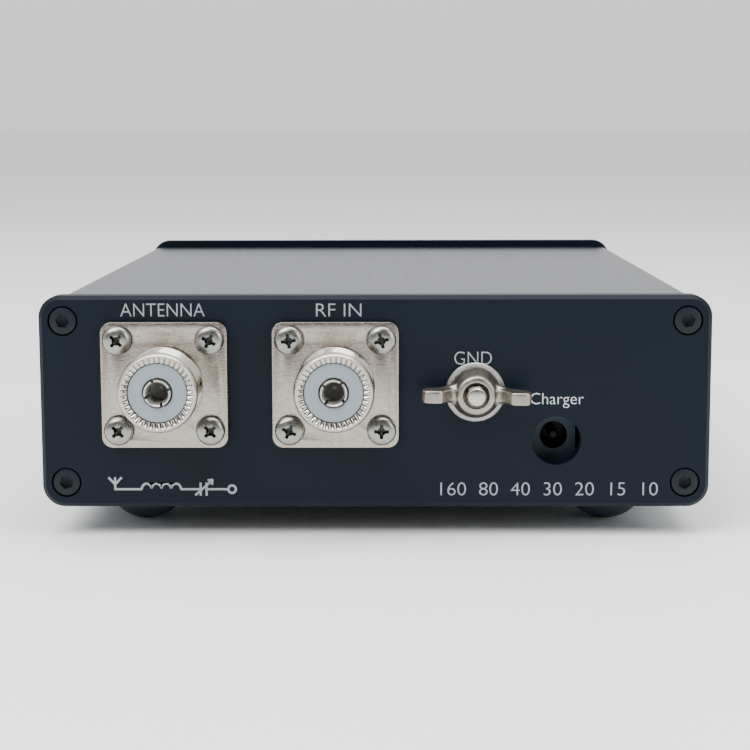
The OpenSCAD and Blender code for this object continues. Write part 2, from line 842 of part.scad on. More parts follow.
module tune_switch_body() { color("#26282b") switch_body(button_x); }
module tune_plunger() { color("#d8d8d0") plunger(button_x); }
module tune_button_cap() { color("#1a1a1a") button_cap(button_x); }
module tune_spring() { color("#b0b0ac") return_spring(button_x); }
module power_switch_body() { color("#26282b") switch_body(-button_x); }
module power_plunger() { color("#d8d8d0") plunger(-button_x); }
module power_button_cap() { color("#1a1a1a") button_cap(-button_x); }
module power_spring() { color("#b0b0ac") return_spring(-button_x); }

// ---------- which node is drawn ----------

case_sleeve();
rear_panel();
front_panel();
rear_panel_screws();
front_panel_screws();
rubber_feet();
antenna_socket_body();
antenna_socket_insulator();
antenna_socket_contact();
antenna_socket_screws();
antenna_socket_nuts();
rf_in_socket_body();
rf_in_socket_insulator();
rf_in_socket_contact();
rf_in_socket_screws();
rf_in_socket_nuts();
ground_stud();
ground_lug();
ground_washer();
wing_nut();
ground_wire();
antenna_lead();
rf_in_lead();
charger_jack_housing();
charger_jack_pin();
charger_jack_contact();
main_board();
relays();
inductor_cores();
inductor_windings();
air_coils();
rf_capacitors();
bridge_core();
bridge_winding();
microcontroller();
electrolytic_capacitors();
voltage_regulator();
crystal();
battery_holder();
battery_cells();
battery_springs();
battery_leads();
front_board();
front_board_header();
status_leds();
led_leads();
led_spacers();
tune_switch_body();
tune_plunger();
tune_button_cap();
tune_spring();
power_switch_body();
power_plunger();
power_button_cap();
power_spring();
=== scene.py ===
import math

import bmesh
import bpy
from mathutils import Matrix, Vector


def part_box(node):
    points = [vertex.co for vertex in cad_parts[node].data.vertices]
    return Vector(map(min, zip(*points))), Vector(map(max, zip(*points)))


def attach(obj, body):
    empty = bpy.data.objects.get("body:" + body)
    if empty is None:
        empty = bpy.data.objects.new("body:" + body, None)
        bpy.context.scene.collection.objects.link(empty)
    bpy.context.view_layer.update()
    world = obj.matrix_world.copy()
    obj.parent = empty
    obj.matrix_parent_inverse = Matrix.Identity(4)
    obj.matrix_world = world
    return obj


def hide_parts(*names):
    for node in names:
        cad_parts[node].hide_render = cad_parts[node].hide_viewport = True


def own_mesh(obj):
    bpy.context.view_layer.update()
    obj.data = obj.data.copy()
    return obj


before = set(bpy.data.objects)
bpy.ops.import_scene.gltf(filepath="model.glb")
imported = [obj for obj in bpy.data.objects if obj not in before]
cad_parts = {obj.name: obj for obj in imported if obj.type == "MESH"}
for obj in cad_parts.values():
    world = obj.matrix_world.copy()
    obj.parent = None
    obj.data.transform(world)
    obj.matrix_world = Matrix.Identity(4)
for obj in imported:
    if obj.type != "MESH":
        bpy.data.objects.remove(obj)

bpy.context.view_layer.update()

MM = 0.001
# Its y is the connector panel's outer face, and its z is that panel's bottom edge.
connector_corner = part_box("rear_panel")[0]
camera_data = bpy.data.cameras.new("camera")
camera_data.sensor_width = 36
camera_data.lens = 85.31
# Its place in mm from the middle of the connector panel's lower edge, and its
# pan, tilt and roll in degrees.
camera_across, camera_back, camera_up = 3.77, 354.67, 76.36
pan, tilt, roll = 0.604, 7.903, -0.132
camera = bpy.data.objects.new("camera", camera_data)
bpy.context.scene.collection.objects.link(camera)
camera.matrix_world = (
    Matrix.Translation(
        (
            camera_across * MM,
            connector_corner.y - camera_back * MM,
            connector_corner.z + camera_up * MM,
        )
    )
    @ Matrix.Rotation(math.radians(pan), 4, "Z")
    @ Matrix.Rotation(math.radians(90 - tilt), 4, "X")
    @ Matrix.Rotation(math.radians(roll), 4, "Z")
)
bpy.context.scene.camera = camera

# ---------------------------------------------------------------- Studio
# A white paper table, a white room that is darker behind the camera, and
# three softboxes: one high at the left, one low at the right, one above.


def linear(colour):
    """Turns an sRGB hex colour into the linear colour that sockets take."""
    parts = [int(colour[i : i + 2], 16) / 255 for i in (0, 2, 4)]
    return [p / 12.92 if p <= 0.04045 else ((p + 0.055) / 1.055) ** 2.4 for p in parts] + [1]


def connect(owner, node, inputs):
    """Sets a node's inputs: each is a number, a colour or another node's output."""
    for key, value in inputs.items():
        if isinstance(value, bpy.types.NodeSocket):
            owner.node_tree.links.new(value, node.inputs[key])
        else:
            node.inputs[key].default_value = value


def add_node(owner, kind, settings=None, inputs=None):
    """Adds one node to a material or the world, with its settings and inputs."""
    node = owner.node_tree.nodes.new("ShaderNode" + kind)
    for name, value in (settings or {}).items():
        setattr(node, name, value)
    connect(owner, node, inputs or {})
    return node


def finish(
    name, dark, light, rough, patch, grain, relief, stretch=(1, 1, 1), painted_hollow_shade=None, **sockets
):
    """Makes the material of one surface finish.

    dark and light are the two sRGB colours it varies between, in patches of a
    size in mm. grain is the size in mm of the marks that vary the roughness
    between the two values of rough, and relief is their depth in mm. stretch
    below 1 draws the marks out along that axis. hollows is a painted shade: the
    colour that inside corners are darkened towards, more where they are more
    concave. sockets go to the shader.
    """
    material = bpy.data.materials.new(name)
    material.use_nodes = True
    place = add_node(material, "TexCoord").outputs["Object"]
    along = add_node(material, "Mapping", None, {"Vector": place, "Scale": stretch}).outputs[0]
    patches = add_node(
        material, "TexNoise", None, {"Vector": place, "Scale": 1 / (patch * MM), "Detail": 3}
    )
    tone = add_node(
        material,
        "Mix",
        {"data_type": "RGBA"},
        {0: patches.outputs[0], 6: linear(dark), 7: linear(light)},
    )
    # Painted shade: where Pointiness finds an inside corner, the tone is pulled towards the hollows
    # colour.
    if painted_hollow_shade:
        corners = add_node(material, "NewGeometry").outputs["Pointiness"]
        depth = add_node(
            material,
            "MapRange",
            None,
            {"Value": corners, "From Min": 0.40, "From Max": 0.495, "To Min": 1, "To Max": 0},
        )
        tone = add_node(
            material,
            "Mix",
            {"data_type": "RGBA"},
            {0: depth.outputs[0], 6: tone.outputs[2], 7: linear(painted_hollow_shade)},
        )
    marks = add_node(
        material, "TexNoise", None, {"Vector": along, "Scale": 1 / (grain * MM), "Detail": 4}
    )
    gloss = add_node(
        material,
        "MapRange",
        None,
        {
            "Value": marks.outputs[0],
            "From Min": 0.3,
            "From Max": 0.7,
            "To Min": rough[0],
            "To Max": rough[1],
        },
    )
    bump = add_node(
        material, "Bump", None, {"Distance": relief * MM, "Height": marks.outputs[0]}
    )
    shader = material.node_tree.nodes["Principled BSDF"]
    connect(
        material,
        shader,
        {"Base Color": tone.outputs[2], "Roughness": gloss.outputs[0], "Normal": bump.outputs[0]},
    )
    connect(material, shader, {key.replace("_", " "): value for key, value in sockets.items()})
    return material


bpy.ops.object.select_all(action="DESELECT")
bpy.ops.mesh.primitive_circle_add(vertices=96, radius=40, fill_type="NGON")
table = bpy.context.object
table.name = "white_table"
# Matte white paper: soft, with no gloss to mirror the object.
table.data.materials.append(
    finish("matte_white_paper", "F4F5F5", "FAFBFB", (0.7, 0.8), 40, 2, 0.01)
)

world = bpy.data.worlds.new("white_room")
bpy.context.scene.world = world
world.use_nodes = True
direction = add_node(world, "TexCoord").outputs["Generated"]
towards_viewer = add_node(
    world, "VectorMath", {"operation": "DOT_PRODUCT"}, {0: direction, 1: (0, -0.94, 0.34)}
)
shade = add_node(
    world,
    "MapRange",
    {"interpolation_type": "SMOOTHSTEP"},
    {
        "Value": towards_viewer.outputs["Value"],
        "From Min": 0.15,
        "From Max": 0.85,
        "To Min": 1,
        "To Max": 0.08,
    },
)
overhead = add_node(world, "SeparateXYZ", None, {"Vector": direction}).outputs["Z"]
height_glow = add_node(
    world,
    "MapRange",
    None,
    {"Value": overhead, "From Min": 0, "From Max": 1, "To Min": 1.05, "To Max": 1.7},
)
brightness = add_node(
    world, "Math", {"operation": "MULTIPLY"}, {0: shade.outputs[0], 1: height_glow.outputs[0]}
)
connect(
    world,
    world.node_tree.nodes["Background"],
    {"Color": linear("FBFCFF"), "Strength": brightness.outputs[0]},
)
for name, where, size, watts in (
    ("softbox_left", (-0.55, -0.75, 0.95), (0.8, 0.6), 16),
    ("softbox_right", (0.8, -0.7, 0.45), (0.4, 0.6), 5),
    ("softbox_above", (0.1, -0.25, 1.1), (1.2, 0.6), 13),
):
    light = bpy.data.lights.new(name, "AREA")
    light.shape = "RECTANGLE"
    light.size, light.size_y = size
    light.energy = watts
    lamp = bpy.data.objects.new(name, light)
    bpy.context.scene.collection.objects.link(lamp)
    lamp.location = where
    aim = Vector((0, -0.05, 0.02)) - Vector(where)
    lamp.rotation_euler = aim.to_track_quat("-Z", "Y").to_euler()

# ---------------------------------------------------------------- Sleeve
# The case is a length of rectangular aluminium tube, extruded through a die,
# sawn to length and anodised black. The die leaves fine lines along it, and
# the oxide film throws back a satin grey where it is seen at a low angle.


def give(material, *nodes):
    """Puts a material on CAD nodes that are shown as they are."""
    for node in nodes:
        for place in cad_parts[node].material_slots:
            place.material = material


give(
    finish(
        "black_anodised_aluminium_extruded",
        "15191D",
        "1B2025",
        (0.235, 0.255),
        25,
        0.6,
        0.0003,
        stretch=(1, 0.01, 1),
        Specular_IOR_Level=0.5,
    ),
    "case_sleeve",
)

# ------------------------------------------------------------ End panels
# Two aluminium plates cut to the same outline, with rounded corners and a
# bevelled front edge, bead blasted and then anodised black. Blasting gives a
# fine even tooth that spreads the light, so the black looks soft and navy.
give(
    finish(
        "black_anodised_aluminium_bead_blasted",
        "050E18",
        "09131F",
        (0.36, 0.44),
        30,
        0.16,
        0.012,
        Specular_IOR_Level=0.14,
    ),
    "rear_panel",
    "front_panel",
)

# ---------------------------------------------------------- Panel screws
# Eight socket cap screws, turned and rolled from steel with a forged hexagon
# socket and blackened in hot oxide. They sit flush in round pockets at the
# panels' corners and pull the panels onto the sleeve.


def turned(name, profile, segments=96):
    """Turns a piece on the lathe: a point draws the profile, given as radius and
    height in mm, and the profile is spun about the local Z axis."""
    bpy.ops.object.select_all(action="DESELECT")
    bpy.ops.mesh.primitive_plane_add(size=1 * MM)
    piece = bpy.context.object
    piece.name = piece.data.name = name
    bpy.ops.object.mode_set(mode="EDIT")
    bpy.ops.mesh.select_mode(type="VERT")
    bpy.ops.mesh.merge(type="CENTER")
    bpy.ops.transform.translate(value=(profile[0][0] * MM, 0, profile[0][1] * MM))
    for (radius, height), (next_radius, next_height) in zip(profile, profile[1:]):
        step = ((next_radius - radius) * MM, 0, (next_height - height) * MM)
        bpy.ops.mesh.extrude_region_move(TRANSFORM_OT_translate={"value": step})
    bpy.ops.mesh.select_all(action="SELECT")
    bpy.ops.mesh.remove_doubles(threshold=0.001 * MM)
    bpy.ops.mesh.spin(steps=segments, angle=math.tau, center=(0, 0, 0), axis=(0, 0, 1))
    bpy.ops.mesh.select_all(action="SELECT")
    bpy.ops.mesh.remove_doubles(threshold=0.001 * MM)
    bpy.ops.mesh.normals_make_consistent(inside=False)
    bpy.ops.object.mode_set(mode="OBJECT")
    return piece


def make_active(piece):
    """Selects one piece and nothing else."""
    bpy.ops.object.select_all(action="DESELECT")
    piece.select_set(True)
    bpy.context.view_layer.objects.active = piece


def apply_modifier(piece, kind, **settings):
    """Adds a modifier, sets it and applies it."""
    make_active(piece)
    bpy.ops.object.modifier_add(type=kind)
    modifier = piece.modifiers[-1]
    for name, value in settings.items():
        setattr(modifier, name, value)
    bpy.ops.object.modifier_apply(modifier=modifier.name)


def cut(piece, tool, operation="DIFFERENCE"):
    """Cuts a tool out of a piece, or welds it on with UNION, and drops the tool."""
    apply_modifier(piece, "BOOLEAN", operation=operation, solver="EXACT", object=tool)
    bpy.data.objects.remove(tool)


def copy_of(piece, name):
    """Copies a piece with a mesh of its own."""
    copied = piece.copy()
    copied.data = piece.data.copy()
    copied.name = copied.data.name = name
    bpy.context.scene.collection.objects.link(copied)
    return copied


# The connector panel faces -Y and the control panel +Y; on both, local +Z
# points out of the panel and local +Y up.
OUT_OF_CONNECTOR_PANEL = Matrix.Translation((0, connector_corner.y, 0)) @ Matrix.Rotation(
    math.radians(90), 4, "X"
)
OUT_OF_CONTROL_PANEL = (
    Matrix.Translation((0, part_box("front_panel")[1].y, 0))
    @ Matrix.Rotation(math.radians(180), 4, "Z")
    @ Matrix.Rotation(math.radians(90), 4, "X")
)


def put(piece, panel, across, up, turn=0):
    """Moves a piece's mesh to its place on a panel, turned about its own axis."""
    piece.data.transform(
        panel @ Matrix.Translation((across, up, 0)) @ Matrix.Rotation(math.radians(turn), 4, "Z")
    )


def install(piece, body, slot, *nodes):
    """Shades a finished piece, hangs it on the body it moves with, and hides the CAD nodes it
    stands for.
    """
    make_active(piece)
    bpy.ops.object.shade_smooth_by_angle(angle=math.radians(32))
    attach(piece, body)
    if nodes:
        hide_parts(*nodes)


# Black oxide on steel: a thin film with an oily satin shine over dark metal.
black_oxide = finish(
    "blackened_steel_hot_oxide", "0B1218", "121A21", (0.4, 0.5), 1.5, 0.15, 0.008,
    Specular_IOR_Level=0.22
)
cap_radius = 2.75
cap_height = 3
shank_radius = 1.5
cap_screw = turned(
    "cap_screw",
    [(0, -14), (1.2, -14), (shank_radius, -13.7), (shank_radius, -cap_height)]
    + [(cap_radius, -cap_height), (cap_radius, -0.32), (cap_radius - 0.1, -0.1)]
    + [(cap_radius - 0.35, 0), (0, 0)],
    64,
)
cut(
    cap_screw,
    turned("hexagon_key", [(0, -1.75), (1.45, -1.4), (1.45, 0.3), (0, 0.3)], 6),
)
cap_screw.data.materials.append(black_oxide)
for node, panel in (
    ("rear_panel_screws", OUT_OF_CONNECTOR_PANEL),
    ("front_panel_screws", OUT_OF_CONTROL_PANEL),
):
    low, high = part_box(node)
    across = high.x - cap_radius * MM
    heights = (low.z + cap_radius * MM, high.z - cap_radius * MM)
    for number, (side, height) in enumerate(
        ((-1, heights[0]), (1, heights[0]), (-1, heights[1]), (1, heights[1])), 1
    ):
        screw = copy_of(cap_screw, f"{node[:-1]}_{number}")
        put(screw, panel, side * across, height, turn=number * 17)
        install(screw, "case", "blackened_steel", node)
bpy.data.objects.remove(cap_screw)

# ------------------------------------------------------------------ Feet
# Four moulded rubber domes, stuck under the sleeve with their own adhesive.
# The mould gives a matte, faintly pebbled black.
give(
    finish("moulded_rubber", "27343F", "32414E", (0.55, 0.7), 4, 0.3, 0.03),
    "rubber_feet",
)

# -------------------------------------------------------- Coaxial sockets
# Two square-flange sockets: a threaded brass shell with teeth around its mouth,
# nickel plated with its flange, holds a moulded insulator and a slotted contact.
# Four pan-head machine screws clamp each flange to the panel.


def block(name, low, high, foot=(1, 1)):
    """A block between two corners in mm, whose lower end is narrowed by foot."""
    bpy.ops.object.select_all(action="DESELECT")
    bpy.ops.mesh.primitive_cube_add(size=1)
    piece = bpy.context.object
    piece.name = piece.data.name = name
    for corner in piece.data.vertices:
        x, y, z = (l + (c + 0.5) * (h - l) for l, c, h in zip(low, corner.co, high))
        narrow = foot if corner.co.z < 0 else (1, 1)
        corner.co = (x * narrow[0] * MM, y * narrow[1] * MM, z * MM)
    return piece


def cut_thread(piece, radius, depth, pitch, low, high):
    """Cuts a helical V thread into the vertices on a radius between two heights, in mm."""
    for vertex in piece.data.vertices:
        x, y, z = vertex.co / MM
        if abs(math.hypot(x, y) - radius) > 0.01 or not low < z < high:
            continue
        turn = (z / pitch - math.atan2(y, x) / math.tau) % 1
        runout = min(1, (z - low) / pitch, (high - z) / pitch)
        share = 1 - depth * runout * abs(2 * turn - 1) / radius
        vertex.co.x *= share
        vertex.co.y *= share


flange_side = 25.4
flange_thickness = 2
hole_pitch = 9.15
thread_radius = 7.94
thread_pitch = 1.058
mouth_height = 13
tooth_segments = 160

socket = block(
    "socket",
    (-flange_side / 2, -flange_side / 2, 0),
    (flange_side / 2, flange_side / 2, flange_thickness),
)
bpy.ops.object.mode_set(mode="EDIT")
bpy.ops.mesh.select_mode(type="EDGE")
bpy.ops.mesh.select_all(action="DESELECT")
flange_mesh = bmesh.from_edit_mesh(socket.data)
for edge in flange_mesh.edges:
    first, last = (vertex.co for vertex in edge.verts)
    edge.select_set(abs(first.z - last.z) > 1 * MM)
bmesh.update_edit_mesh(socket.data)
bpy.ops.mesh.bevel(offset=2.2 * MM, segments=10, affect="EDGES")
bpy.ops.mesh.select_mode(type="VERT")
bpy.ops.object.mode_set(mode="OBJECT")
cut(socket, turned("shell_hole", [(0, -1), (6, -1), (6, 3), (0, 3)], 64))
for across in (-hole_pitch, hole_pitch):
    for up in (-hole_pitch, hole_pitch):
        drill = turned("drill", [(0, -1), (1.6, -1), (1.6, 3), (0, 3)], 32)
        drill.data.transform(Matrix.Translation((across * MM, up * MM, 0)))
        cut(socket, drill)
apply_modifier(
    socket, "BEVEL", width=0.22 * MM, segments=3, limit_method="ANGLE", angle_limit=math.radians(40)
)
thread_steps = [2.9 + i * thread_pitch / 8 for i in range(71)]
bore_radius = 5.9
teeth_radius = 7.0
shell = turned(
    "shell",
    [(4.7, -6), (6.3, -6), (6.3, 1), (7.25, 1), (7.25, 2.6)]
    + [(thread_radius, height) for height in thread_steps]
    + [(7.8, 12.5), (7.6, 12.82), (7.35, mouth_height), (teeth_radius + 0.12, mouth_height)]
    + [(teeth_radius, 12.94), (6.45, 12.9), (bore_radius + 0.1, 12.8)]
    + [(bore_radius, 12.6), (bore_radius, 0.6), (4.7, 0.6), (4.7, -6)],
    tooth_segments,
)
cut_thread(shell, thread_radius, 0.5, thread_pitch, thread_steps[0] - 0.1, thread_steps[-1] + 0.1)
for vertex in shell.data.vertices:
    x, y, z = vertex.co / MM
    radius = math.hypot(x, y)
    step = round(math.atan2(y, x) / math.tau * tooth_segments) % 4
    if z > 12.5 and radius < teeth_radius + 0.05:
        valley = (0, 0.1, 0.42, 0.1)[step]
        vertex.co.z -= valley * (1 if radius < 6.8 else 0.45) * MM
cut(socket, shell, "UNION")

# Nickel plate on a stamped flange, tumbled before plating: warm satin silver
# with fine scratches that run across it, and pits.
satin_nickel = finish(
    "nickel_plated_brass_tumbled",
    "948C82",
    "B2A99E",
    (0.2, 0.38),
    0.9,
    0.2,
    0.014,
    stretch=(0.09, 1, 1),
    Metallic=1.0,
)
# Pits left by the tumbling, just under a millimetre apart and far smaller.
pit_place = add_node(satin_nickel, "TexCoord").outputs["Object"]
pits = add_node(satin_nickel, "TexVoronoi", None, {"Vector": pit_place, "Scale": 1 / (0.9 * MM)})
pit_depth = add_node(
    satin_nickel,
    "MapRange",
    None,
    {"Value": pits.outputs["Distance"], "From Min": 0.0, "From Max": 0.2, "To Min": 0, "To Max": 1},
)
pitted = add_node(
    satin_nickel,
    "Bump",
    None,
    {
        "Distance": 0.05 * MM,
        "Height": pit_depth.outputs[0],
        "Normal": satin_nickel.node_tree.nodes["Bump"].outputs[0],
    },
)
connect(
    satin_nickel, satin_nickel.node_tree.nodes["Principled BSDF"], {"Normal": pitted.outputs[0]}
)
# The same plate on a turned surface: brighter, with rings left by the tool.
bright_nickel = finish(
    "nickel_plated_brass_turned",
    "A9A59C",
    "C5C0B7",
    (0.16, 0.3),
    1.2,
    0.2,
    0.01,
    # This grey is painted shade, laid in the thread grooves and inside corners of the turned plate.
    painted_hollow_shade="8B877F",
    Metallic=1.0,
)
# Inside a drilled bore the plate is thin and dull; its darker grey is also painted shade, since
# little light gets into the bore.
bore_nickel_and_shade = finish(
    "nickel_plated_brass_drilled_and_shaded", "8C8C88", "A5A49E", (0.35, 0.5), 0.8, 0.3, 0.02, Metallic=0.5
)
socket.data.materials.clear()
socket.data.materials.append(satin_nickel)
socket.data.materials.append(bright_nickel)
for face in socket.data.polygons:
    on_shell = math.hypot(face.center.x, face.center.y) < 8 * MM
    off_flange = face.center.z > 2.01 * MM or face.center.z < -0.01 * MM
    inside = math.hypot(face.center.x, face.center.y) < 6 * MM
    face.material_index = int((on_shell and off_flange) or inside)

insulator = turned(
    "insulator",
    [(2.85, -9), (4.65, -9), (4.65, 0.65), (5.85, 0.65), (5.85, 12.2), (5.77, 12.42), (5.6, 12.5)]
    + [(3.1, 12.5), (3.0, 12.42), (2.94, 12.2), (2.94, 9), (2.85, 8.9), (2.85, -9)],
    96,
)
# Moulded fluoroplastic: bluish white, waxy, with light soaking a little way in.
insulator.data.materials.append(
    finish(
        "fluoroplastic_moulded",
        "7F8A92",
        "8B959C",
        (0.38, 0.46),
        3,
        0.25,
        0.01,
        Subsurface_Weight=0.15,
        Subsurface_Radius=(0.8 * MM, 1.0 * MM, 1.2 * MM),
    )
)

# Fine rings in the bore are the tool marks of the drill.
bore_rings = [(2.2 if i % 2 else 2.06, 12.4 - i * 0.4) for i in range(16)]
contact = turned(
    "contact",
    [(0, -13), (1.8, -13), (2, -12.8), (2, -9), (2.75, -9), (2.75, 12.85), (2.7, 13.05)]
    + [(2.6, 13.2), (2.42, 13.2), (2.28, 13.08), (2.22, 12.8)]
    + bore_rings
    + [(2.2, 5.9), (1.5, 5.7), (0.8, 5.3), (0, 4.9)],
    80,
)
for quarter in (0, 90):
    saw = block("saw", (-3.4, -0.27, 7.2), (3.4, 0.27, 13.8))
    saw.data.transform(Matrix.Rotation(math.radians(quarter), 4, "Z"))
    cut(contact, saw)
contact.data.materials.append(bright_nickel)
contact.data.materials.append(bore_nickel_and_shade)
# The bore's faces take the darker nickel, which is partly painted shade.
for face in contact.data.polygons:
    across = math.hypot(face.center.x, face.center.y) / MM
    face.material_index = int(across < 2.24 and 4.8 < face.center.z / MM < 12.9)

head_radius = 2.95
# The dome starts above the rim; a power below 1 makes its shoulder fuller.
dome_power = 0.55
dome_foot = 2.55
dome_height = 1.32
dome = [math.radians(angle) for angle in range(0, 91, 9)]
pan_screw = turned(
    "pan_screw",
    [(0, -8), (1.2, -8), (1.45, -7.7), (1.45, 2.01), (head_radius - 0.34, 2.01)]
    + [(head_radius - 0.32, 2.1), (head_radius, 2.4)]
    + [
        (head_radius * math.cos(t) ** dome_power, dome_foot + dome_height * math.sin(t) ** 0.9)
        for t in dome[:-1]
    ]
    + [(0, dome_foot + dome_height)],
    64,
)
for quarter in (0, 90):
    wing = block("wing", (-1.62, -0.37, 2.45), (1.62, 0.37, 4.5), foot=(0.72, 0.7))
    wing.data.transform(Matrix.Rotation(math.radians(quarter), 4, "Z"))
    cut(pan_screw, wing)
cut(pan_screw, turned("point", [(0, 2.2), (0.3, 2.3), (0.98, 4.3), (0, 4.3)], 24))
# Zinc over rolled steel: a satin silver, with faint grey mottling.
pan_screw.data.materials.append(
    finish(
        "zinc_plated_steel_rolled", "83847F", "A09F98", (0.24, 0.36), 0.9, 0.3, 0.006, Metallic=1.0,
    )
)
# The punched recess and the rim of the head: a dark grey that is painted shade, the shadow down in
# the recess and the shadow gap around the head.
pan_screw.data.materials.append(
    finish(
        "zinc_plated_steel_painted_shade", "363734", "50514C", (0.35, 0.5), 0.6, 0.15, 0.01, Metallic=1.0,
    )
)
# Faces down in the recess and on the rim take the second material, the painted shade.
for face in pan_screw.data.polygons:
    across = math.hypot(face.center.x, face.center.y) / MM
    height = face.center.z / MM
    if across < 1.9 and height > 2.2:
        slope = math.acos(min(1, (across / head_radius) ** (1 / dome_power)))
        surface = dome_foot + dome_height * math.sin(slope) ** 0.9
        face.material_index = int(height < surface - 0.07)
    elif across > 2.4 and height < 2.6:
        face.material_index = 1

# The screws pull to the outer side of their clearance holes.
screw_play = 0.12
for node, contact_turn, screw_turns in (
    ("antenna_socket", 20, (-43, -45, -42, -27)),
    ("rf_in_socket", 52, (-24, -1, 8, 15)),
):
    low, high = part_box(node + "_body")
    across, up = (low.x + high.x) / 2, (low.z + high.z) / 2
    for master, part, slot, turn in (
        (socket, "body", "nickel_plate", 0),
        (insulator, "insulator", "insulator_plastic", 0),
        (contact, "contact", "nickel_plate", contact_turn),
    ):
        piece = copy_of(master, f"{node}_{part}_piece")
        put(piece, OUT_OF_CONNECTOR_PANEL, across, up, turn)
        install(piece, "case", slot, f"{node}_{part}")
    for number, turn in enumerate(screw_turns, 1):
        side = 1 if number % 2 == 0 else -1
        level = -1 if number < 3 else 1
        screw = copy_of(pan_screw, f"{node}_screw_{number}")
        put(
            screw,
            OUT_OF_CONNECTOR_PANEL,
            across + side * (hole_pitch + screw_play) * MM,
            up + level * hole_pitch * MM,
            turn,
        )
        install(screw, "case", "zinc_steel", f"{node}_screws")
for master in (socket, insulator, contact, pan_screw):
    bpy.data.objects.remove(master)
give(
    finish(
        "zinc_plated_steel_nuts", "8A8C89", "A6A7A2", (0.22, 0.34), 1.2, 0.15, 0.01, Metallic=1.0,
    ),
    "antenna_socket_nuts",
    "rf_in_socket_nuts",
)

# ----------------------------------------------------------- Ground post
# A steel screw put through the panel from inside, with a flat washer and a
# cast wing nut to clamp an earth wire. All of it is nickel plated; casting
# leaves the nut with soft corners and a slightly uneven skin.
low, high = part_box("ground_washer")
post_x, post_z = (low.x + high.x) / 2, (low.z + high.z) / 2
stud_steps = [-4.4 + i * 0.7 / 6 for i in range(101)]
stud = turned(
    "ground_stud_piece",
    [(0, -7.6), (3.5, -7.6), (3.75, -7.35), (3.75, -4.8), (2, -4.8)]
    + [(2, height) for height in stud_steps]
    + [(2, 7.4), (1.9, 7.65), (1.62, 7.93), (1.3, 8), (0, 8)],
    64,
)
cut_thread(stud, 2, 0.26, 0.7, stud_steps[0] - 0.1, stud_steps[-1] + 0.1)
stud.data.materials.append(bright_nickel)
put(stud, OUT_OF_CONNECTOR_PANEL, post_x, post_z)
install(stud, "case", "nickel_plate", "ground_stud")

washer = turned(
    "ground_washer_piece",
    [(2.15, 0.1), (2.25, 0), (5.85, 0), (6, 0.15), (6, 0.82), (5.82, 1)]
    + [(2.25, 1), (2.15, 0.9), (2.15, 0.1)],
    96,
)
washer.data.materials.append(
    finish(
        "nickel_plated_steel_stamped", "8C8D8B", "A8A8A5", (0.24, 0.38), 2, 0.25, 0.012,
        Metallic=1.0,
    )
)
put(washer, OUT_OF_CONNECTOR_PANEL, post_x, post_z)
install(washer, "washer", "nickel_plate", "ground_washer")


def drawn_plate(name, outline, low, high):
    """Draws an outline of (x, y) points in mm, fills it and extrudes it from low to high."""
    bpy.ops.object.select_all(action="DESELECT")
    bpy.ops.mesh.primitive_plane_add(size=1 * MM)
    piece = bpy.context.object
    piece.name = piece.data.name = name
    bpy.ops.object.mode_set(mode="EDIT")
    bpy.ops.mesh.select_mode(type="VERT")
    bpy.ops.mesh.merge(type="CENTER")
    bpy.ops.transform.translate(value=(outline[0][0] * MM, outline[0][1] * MM, low * MM))
    for (x, y), (next_x, next_y) in zip(outline, outline[1:]):
        step = ((next_x - x) * MM, (next_y - y) * MM, 0)
        bpy.ops.mesh.extrude_region_move(TRANSFORM_OT_translate={"value": step})
    bpy.ops.mesh.select_all(action="SELECT")
    bpy.ops.mesh.edge_face_add()
    bpy.ops.mesh.extrude_region_move(TRANSFORM_OT_translate={"value": (0, 0, (high - low) * MM)})
    bpy.ops.mesh.select_all(action="SELECT")
    bpy.ops.mesh.normals_make_consistent(inside=False)
    bpy.ops.object.mode_set(mode="OBJECT")
    return piece


washer_top = 1
wing_nut = turned(
    "wing_nut_piece",
    [(0, 0), (4.95, 0), (5.1, 0.3), (5.05, 1.2), (4.8, 2.3), (4.4, 3.3), (4.05, 4.2), (3.8, 4.75)]
    + [(3.45, 5), (0, 5)],
    64,
)
# A wing's outline, in the plane of the post's axis: distance from it, and height.
wing_outline = [(1, 0.5), (4.4, 0.5), (6.1, 1.5), (8.2, 2.9), (10, 4.0), (10.75, 5.2), (10.9, 6.4)]
wing_outline += [(10.75, 7.4), (10.3, 8.1), (9.5, 8.4), (7.7, 8.4), (6.8, 8.1), (6.3, 7.1)]
wing_outline += [(5.8, 5.5), (5.0, 4.5), (3.8, 3.9), (1, 3.9)]
for side in (0, 180):
    wing = drawn_plate("wing", wing_outline, -1.32, 1.32)
    wing.data.transform(
        Matrix.Rotation(math.radians(side), 4, "Z") @ Matrix.Rotation(math.radians(90), 4, "X")
    )
    cut(wing_nut, wing, "UNION")
    # The root spreads where the wing grows out of the hub.
    root = block("root", (1, -2.9, 0.3), (7.2, 2.9, 3.3))
    for corner in root.data.vertices:
        if corner.co.x > 2 * MM:
            corner.co.y *= 0.44
            corner.co.z += (1.9 if corner.co.z < 1 * MM else 0.5) * MM
    root.data.transform(Matrix.Rotation(math.radians(side), 4, "Z"))
    cut(wing_nut, root, "UNION")
apply_modifier(wing_nut, "REMESH", mode="VOXEL", voxel_size=0.18 * MM, use_smooth_shade=True)
apply_modifier(wing_nut, "SMOOTH", factor=0.5, iterations=34)
cut(wing_nut, turned("tap", [(0, -1), (2.1, -1), (2.1, 4), (2.65, 4.75), (2.75, 6), (0, 6)], 64))
wing_nut.data.transform(Matrix.Translation((0, 0, washer_top * MM)))
wing_nut.data.materials.append(
    finish(
        "nickel_plated_cast_metal",
        "857F76",
        "A8A298",
        (0.3, 0.42),
        2.2,
        0.9,
        0.02,
        Metallic=1.0,
    )
)
put(wing_nut, OUT_OF_CONNECTOR_PANEL, post_x, post_z, turn=-1.5)
install(wing_nut, "wing_nut", "nickel_plate", "wing_nut")
